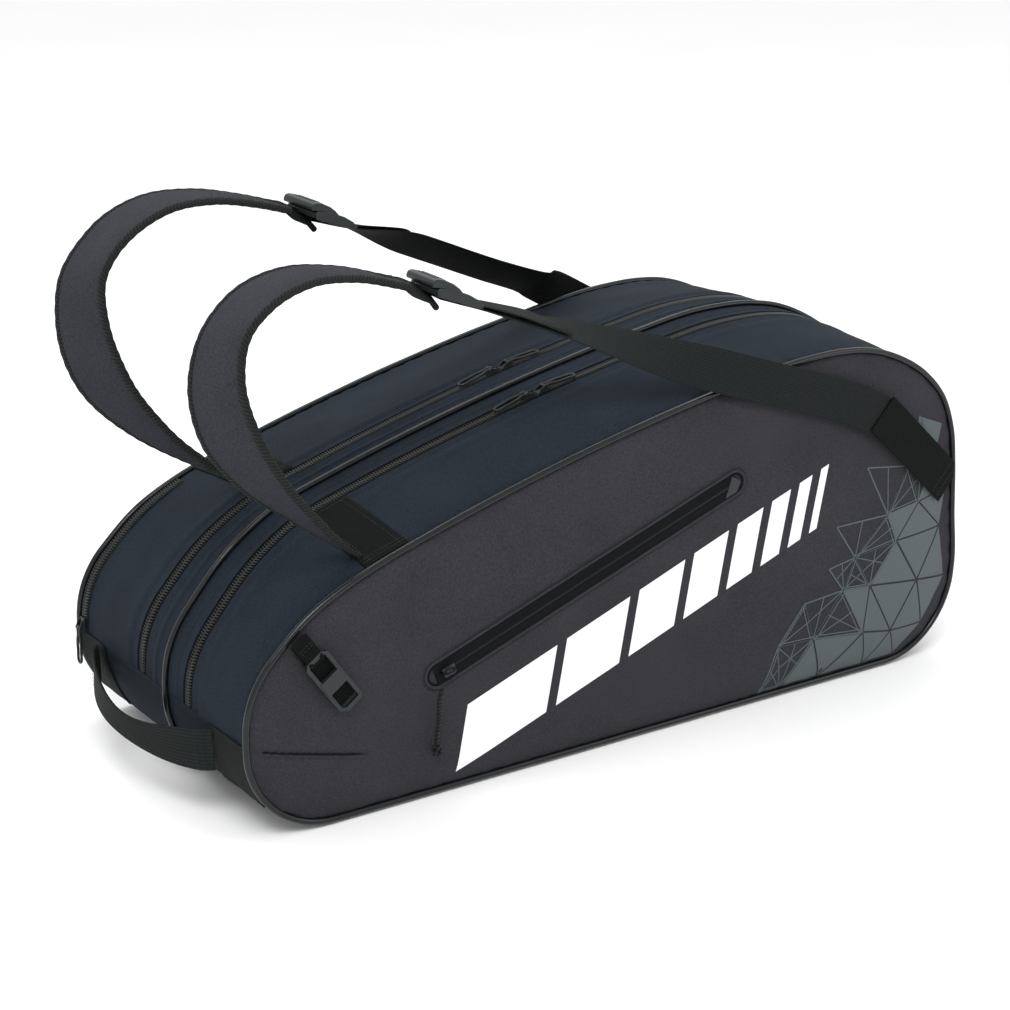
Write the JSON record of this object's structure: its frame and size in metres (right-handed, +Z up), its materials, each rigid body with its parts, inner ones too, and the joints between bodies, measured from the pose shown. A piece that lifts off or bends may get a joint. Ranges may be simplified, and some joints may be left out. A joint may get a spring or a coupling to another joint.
{
  "type": "racket bag",
  "caption": "Long soft racket bag, pointed at one end, with zipped main compartments, a front pocket, padded shoulder straps, a haul handle and an accessory clip.",
  "frame": {"origin": "on the flat underside, below the middle of the front panel's length and the middle of the bag's width", "axes": "+X along the bag from the nose with the haul handle to the tall end, -Y out of the front panel, +Z up"},
  "size_m": [0.8037, 0.3358, 0.4775],
  "materials": {
    "navy_fabric": "matt woven polyester, dark navy",
    "charcoal_fabric": "matt woven polyester laminated to foam, charcoal",
    "black_webbing": "ribbed polypropylene webbing and cord, black",
    "black_zip": "zip tape with coil, black",
    "glossy_piping": "smooth coated piping with a soft gloss",
    "lining_fabric": "thin plain lining, dark grey",
    "black_plastic": "moulded acetal, fine texture",
    "stiff_board": "plain board, unseen"
  },
  "bodies": {
    "bag_body": {"bottom_strip": "navy_fabric", "base_board": "stiff_board", "centre_gusset": "navy_fabric", "centre_piping": "glossy_piping", "divider": "lining_fabric", "front_zip": "black_zip", "rear_zip": "black_zip", "handle_patch_front": "black_webbing", "handle_patch_rear": "black_webbing"},
    "haul_handle": {"haul_handle": "black_webbing"},
    "front_shell": {"front_panel": "charcoal_fabric", "front_lining": "lining_fabric", "front_piping": "glossy_piping", "front_gusset": "navy_fabric", "front_strap_band": "black_webbing", "pocket_zip": "black_zip", "pocket_pouch": "lining_fabric", "clip_tab": "black_webbing"},
    "rear_shell": {"rear_panel": "charcoal_fabric", "pocket_wall": "lining_fabric", "rear_piping": "glossy_piping", "rear_gusset": "navy_fabric", "rear_strap_band": "black_webbing", "side_zip": "black_zip"},
    "front_slider_left": {"front_slider_left": "black_plastic"},
    "front_slider_right": {"front_slider_right": "black_plastic"},
    "rear_slider_left": {"rear_slider_left": "black_plastic"},
    "rear_slider_right": {"rear_slider_right": "black_plastic"},
    "front_puller_left": {"front_puller_left": "black_plastic"},
    "front_puller_right": {"front_puller_right": "black_plastic"},
    "rear_puller_left": {"rear_puller_left": "black_plastic"},
    "rear_puller_right": {"rear_puller_right": "black_plastic"},
    "side_slider": {"side_slider": "black_plastic"},
    "side_puller": {"side_puller": "black_plastic"},
    "pocket_slider": {"pocket_slider": "black_plastic", "pocket_cord": "black_webbing", "cord_knot": "black_webbing"},
    "front_strap": {"front_strap_pad": "charcoal_fabric", "front_strap_webbing": "black_webbing", "front_buckle": "black_plastic"},
    "rear_strap": {"rear_strap_pad": "charcoal_fabric", "rear_strap_webbing": "black_webbing", "rear_buckle": "black_plastic"},
    "accessory_clip": {"accessory_clip": "black_plastic"}
  },
  "joints": [
    {"name": "front_shell_open", "type": "hinge", "parent": "bag_body", "child": "front_shell", "pos_m": [0, -0.151, 0.004], "axis": [1, 0, 0], "range_deg": [0, 25]},
    {"name": "rear_shell_open", "type": "hinge", "parent": "bag_body", "child": "rear_shell", "pos_m": [0, 0.151, 0.004], "axis": [-1, 0, 0], "range_deg": [0, 25]},
    {"name": "front_slider_left_run", "type": "hinge", "parent": "bag_body", "child": "front_slider_left", "pos_m": [0.5075, -0.046, -2.0591], "axis": [0, 1, 0], "range_deg": [-4.5, 0]},
    {"name": "front_slider_right_run", "type": "hinge", "parent": "bag_body", "child": "front_slider_right", "pos_m": [0.5075, -0.046, -2.0591], "axis": [0, 1, 0], "range_deg": [0, 3.9]},
    {"name": "rear_slider_left_run", "type": "hinge", "parent": "bag_body", "child": "rear_slider_left", "pos_m": [0.5075, 0.024, -2.0591], "axis": [0, 1, 0], "range_deg": [-4.5, 0]},
    {"name": "rear_slider_right_run", "type": "hinge", "parent": "bag_body", "child": "rear_slider_right", "pos_m": [0.5075, 0.024, -2.0591], "axis": [0, 1, 0], "range_deg": [0, 3.6]},
    {"name": "front_puller_left_lift", "type": "hinge", "parent": "front_slider_left", "child": "front_puller_left", "pos_m": [-0.04396, -0.046, 0.29626], "axis": [0, 1, 0], "range_deg": [0, 150]},
    {"name": "front_puller_right_lift", "type": "hinge", "parent": "front_slider_right", "child": "front_puller_right", "pos_m": [-0.02461, -0.046, 0.30071], "axis": [0, -1, 0], "range_deg": [0, 150]},
    {"name": "rear_puller_left_lift", "type": "hinge", "parent": "rear_slider_left", "child": "rear_puller_left", "pos_m": [-0.03411, 0.024, 0.29955], "axis": [0, 1, 0], "range_deg": [0, 150]},
    {"name": "rear_puller_right_lift", "type": "hinge", "parent": "rear_slider_right", "child": "rear_puller_right", "pos_m": [-0.01475, 0.024, 0.30398], "axis": [0, -1, 0], "range_deg": [0, 150]},
    {"name": "side_slider_run", "type": "hinge", "parent": "rear_shell", "child": "side_slider", "pos_m": [-0.295, 0.138, 0.095], "axis": [0, 1, 0], "range_deg": [0, 42]},
    {"name": "side_puller_lift", "type": "hinge", "parent": "side_slider", "child": "side_puller", "pos_m": [-0.38728, 0.13879, 0.09059], "axis": [0, 1, 0], "range_deg": [0, 140]},
    {"name": "pocket_slider_run", "type": "slide", "parent": "front_shell", "child": "pocket_slider", "axis": [0.9426, 0, 0.3338], "range_m": [0, 0.3]},
    {"name": "front_strap_swing", "type": "hinge", "parent": "front_shell", "child": "front_strap", "pos_m": [-0.2745, -0.13, 0.226], "axis": [0.9928, -0.0446, -0.1115], "range_deg": [0, 35]},
    {"name": "rear_strap_swing", "type": "hinge", "parent": "rear_shell", "child": "rear_strap", "pos_m": [-0.276, 0.042, 0.234], "axis": [-0.9759, -0.1811, 0.1218], "range_deg": [0, 35]},
    {"name": "haul_handle_lift", "type": "hinge", "parent": "bag_body", "child": "haul_handle", "pos_m": [-0.3845, 0, 0.084], "axis": [0, 1, 0], "range_deg": [0, 90]},
    {"name": "clip_flip", "type": "hinge", "parent": "front_shell", "child": "accessory_clip", "pos_m": [-0.3234, -0.1626, 0.1535], "axis": [-0.809, 0, -0.5878], "range_deg": [0, 150]}
  ],
  "couplings": [
    {"joint": "front_slider_left_run", "follows": "front_shell_open", "ratio": -0.18},
    {"joint": "front_slider_right_run", "follows": "front_shell_open", "ratio": 0.156},
    {"joint": "rear_slider_left_run", "follows": "rear_shell_open", "ratio": -0.18},
    {"joint": "rear_slider_right_run", "follows": "rear_shell_open", "ratio": 0.144}
  ]
}
